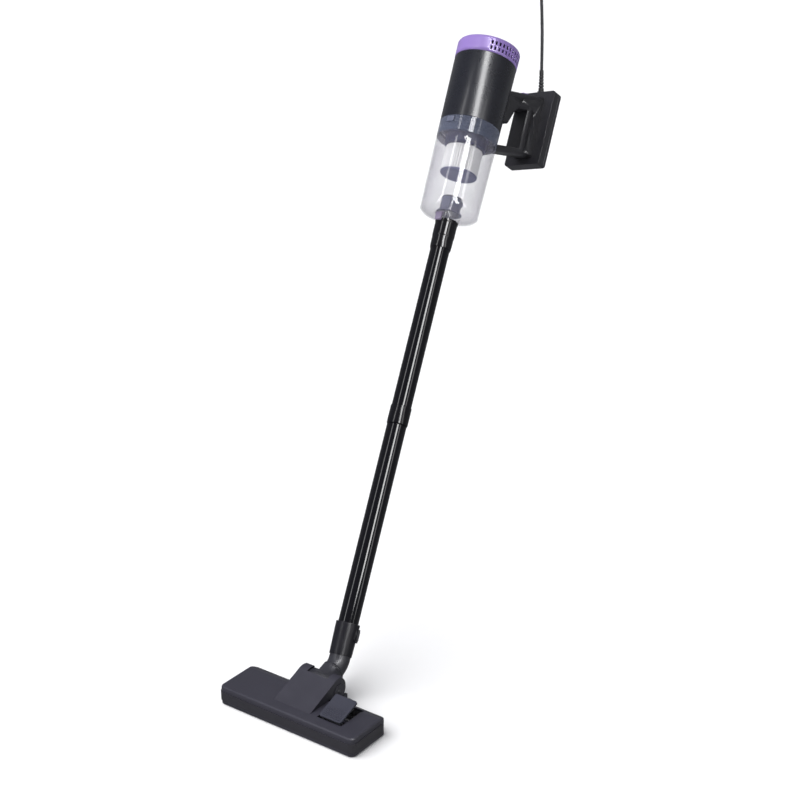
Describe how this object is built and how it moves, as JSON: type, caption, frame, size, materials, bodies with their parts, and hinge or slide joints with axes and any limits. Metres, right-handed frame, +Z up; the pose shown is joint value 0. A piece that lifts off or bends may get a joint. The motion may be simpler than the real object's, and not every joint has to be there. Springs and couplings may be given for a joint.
{
  "type": "corded stick vacuum cleaner",
  "caption": "Corded stick vacuum with a clear dust cup, vented end cap, D-shaped handle with a rear box, two-part wand and a floor head with a rocker pedal.",
  "frame": {"origin": "middle of the floor head's sole plate, on the floor", "axes": "+Z up, +X along the floor head's width, -Y towards the head's front edge; the wand leans back over +Y at about 55 degrees above the floor and 12 degrees towards -X"},
  "size_m": [0.3077, 0.8672, 1.0856],
  "materials": {
    "housing_black": "satin moulded plastic",
    "handle_black": "fine grained moulded plastic",
    "box_grain": "coarse grained moulded plastic",
    "cap_lilac": "satin moulded plastic",
    "collar_smoke": "tinted clear plastic",
    "release_smoke": "satin moulded plastic",
    "cup_clear": "clear plastic",
    "inlet_smoke": "satin translucent plastic",
    "holder_navy": "satin moulded plastic",
    "filter_white": "pleated filter paper",
    "filter_foam": "open cell foam",
    "disc_blue_grey": "moulded plastic",
    "tab_mauve": "satin moulded plastic",
    "flap_rubber": "soft rubber",
    "mount_rubber": "soft rubber",
    "inner_grey": "moulded plastic",
    "inner_black": "moulded plastic",
    "motor_steel": "pressed steel can",
    "screw_steel": "zinc plated steel",
    "relief_rubber": "moulded soft plastic",
    "lead_black": "soft plastic sheath",
    "plug_brass": "nickel brass",
    "wand_gloss": "high gloss black enamel",
    "wand_sleeve": "gloss moulded plastic",
    "connector_gloss": "gloss moulded plastic",
    "neck_black": "satin moulded plastic",
    "elbow_grey": "moulded plastic",
    "head_black": "fine grained moulded plastic",
    "pedal_grey": "moulded plastic",
    "bumper_rubber": "soft rubber",
    "bristle_black": "nylon bristle",
    "sole_steel": "polished steel",
    "wheel_rubber": "hard rubber"
  },
  "bodies": {
    "handheld": {"motor_housing": "housing_black", "collar_band": "collar_smoke", "exhaust_filter": "filter_foam", "motor": "motor_steel", "fan_cover": "inner_grey", "fan_plate": "inner_grey", "motor_mount_front": "mount_rubber", "motor_mount_rear": "mount_rubber", "cup_seal": "mount_rubber", "handle_left_shell": "handle_black", "handle_right_shell": "handle_black", "handle_screws": "screw_steel", "switch_body": "inner_black", "rear_box_front": "handle_black", "rear_box_cover": "box_grain", "terminal_block": "inner_grey", "strain_relief": "relief_rubber", "mains_lead": "lead_black", "mains_plug": "relief_rubber", "plug_pins": "plug_brass"},
    "fan_rotor": {"fan": "inner_grey", "motor_shaft": "screw_steel"},
    "cap": {"exhaust_cap": "cap_lilac"},
    "filter": {"filter_holder": "holder_navy", "filter_element": "filter_white", "filter_end_disc": "disc_blue_grey"},
    "power_switch": {"power_slide": "cap_lilac"},
    "cup_release": {"cup_release_button": "release_smoke"},
    "cup": {"dust_cup": "cup_clear", "inlet_pipe": "inlet_smoke", "flap_bracket": "inlet_smoke"},
    "flap": {"inlet_flap": "flap_rubber"},
    "release_tab": {"wand_release_tab": "tab_mauve"},
    "upper_wand": {"wand_upper_tube": "wand_gloss", "wand_joint_sleeve": "wand_sleeve", "wand_connector": "connector_gloss"},
    "lower_wand": {"wand_lower_tube": "wand_gloss"},
    "neck": {"neck_collar": "neck_black", "neck_elbow": "elbow_grey"},
    "neck_catch": {"neck_button": "elbow_grey"},
    "barrel": {"pitch_barrel": "elbow_grey"},
    "head": {"head_lower_shell": "head_black", "head_upper_shell": "head_black", "head_hood": "head_black", "sole_plate": "sole_steel", "bumper_strip": "bumper_rubber", "pedal_pin": "screw_steel", "wheel_axles": "screw_steel", "sole_screws": "screw_steel"},
    "pedal": {"pedal": "pedal_grey"},
    "brush": {"brush_carrier": "inner_black", "brush_strips": "bristle_black"},
    "left_wheel": {"wheel_left": "wheel_rubber"},
    "right_wheel": {"wheel_right": "wheel_rubber"}
  },
  "joints": [
    {"name": "fan_spin", "type": "hinge", "parent": "handheld", "child": "fan_rotor", "pos_m": [-0.11443, 0.63112, 0.83425], "axis": [-0.1192, 0.5634, 0.8176], "continuous": true},
    {"name": "cap_twist", "type": "hinge", "parent": "handheld", "child": "cap", "pos_m": [-0.12396, 0.67619, 0.89965], "axis": [-0.1192, 0.5634, 0.8176], "range_deg": [0, 20]},
    {"name": "filter_pull", "type": "slide", "parent": "handheld", "child": "filter", "axis": [0.1192, -0.5634, -0.8176], "range_m": [0, 0.03]},
    {"name": "power_switch_slide", "type": "slide", "parent": "handheld", "child": "power_switch", "axis": [0.1149, 0.9641, -0.2393], "range_m": [0, 0.004]},
    {"name": "cup_release_press", "type": "slide", "parent": "handheld", "child": "cup_release", "axis": [0.1641, 0.8233, -0.5434], "range_m": [0, 0.002], "stiffness_N_per_m": 400},
    {"name": "cup_pull", "type": "slide", "parent": "handheld", "child": "cup", "axis": [0.1192, -0.5634, -0.8176], "range_m": [0, 0.08]},
    {"name": "flap_swing", "type": "hinge", "parent": "cup", "child": "flap", "pos_m": [-0.08954, 0.54356, 0.6745], "axis": [-0.9792, 0.0694, -0.1906], "range_deg": [0, 60]},
    {"name": "release_tab_lift", "type": "hinge", "parent": "cup", "child": "release_tab", "pos_m": [-0.09237, 0.49091, 0.66988], "axis": [-0.9792, 0.0694, -0.1906], "range_deg": [0, 12], "stiffness_Nm_per_rad": 0.3},
    {"name": "upper_wand_pull", "type": "slide", "parent": "cup", "child": "upper_wand", "axis": [0.1192, -0.5634, -0.8176], "range_m": [0, 0.026]},
    {"name": "lower_wand_pull", "type": "slide", "parent": "upper_wand", "child": "lower_wand", "axis": [0.1192, -0.5634, -0.8176], "range_m": [0, 0.042]},
    {"name": "neck_pull", "type": "slide", "parent": "lower_wand", "child": "neck", "axis": [0.1192, -0.5634, -0.8176], "range_m": [0, 0.042]},
    {"name": "neck_button_press", "type": "slide", "parent": "neck", "child": "neck_catch", "axis": [-0.9416, -0.3253, 0.0869], "range_m": [0, 0.0016], "stiffness_N_per_m": 400},
    {"name": "neck_swivel", "type": "hinge", "parent": "neck", "child": "barrel", "pos_m": [0, 0.048, 0.034], "axis": [0, 0.9397, 0.342], "range_deg": [-65, 45]},
    {"name": "head_pitch", "type": "hinge", "parent": "barrel", "child": "head", "pos_m": [0, 0.048, 0.034], "axis": [1, 0, 0], "range_deg": [-30, 30]},
    {"name": "pedal_press", "type": "hinge", "parent": "head", "child": "pedal", "pos_m": [0.07, -0.011, 0.0265], "axis": [-1, 0, 0], "range_deg": [0, 13]},
    {"name": "brush_drop", "type": "slide", "parent": "head", "child": "brush", "axis": [0, 0, -1], "range_m": [0, 0.006]},
    {"name": "wheel_left_spin", "type": "hinge", "parent": "head", "child": "left_wheel", "pos_m": [-0.042, 0.06, 0.009], "axis": [1, 0, 0], "continuous": true},
    {"name": "wheel_right_spin", "type": "hinge", "parent": "head", "child": "right_wheel", "pos_m": [0.042, 0.06, 0.009], "axis": [1, 0, 0], "continuous": true}
  ],
  "couplings": [
    {"joint": "brush_drop", "follows": "pedal_press", "m_per_rad": 0.026444}
  ]
}
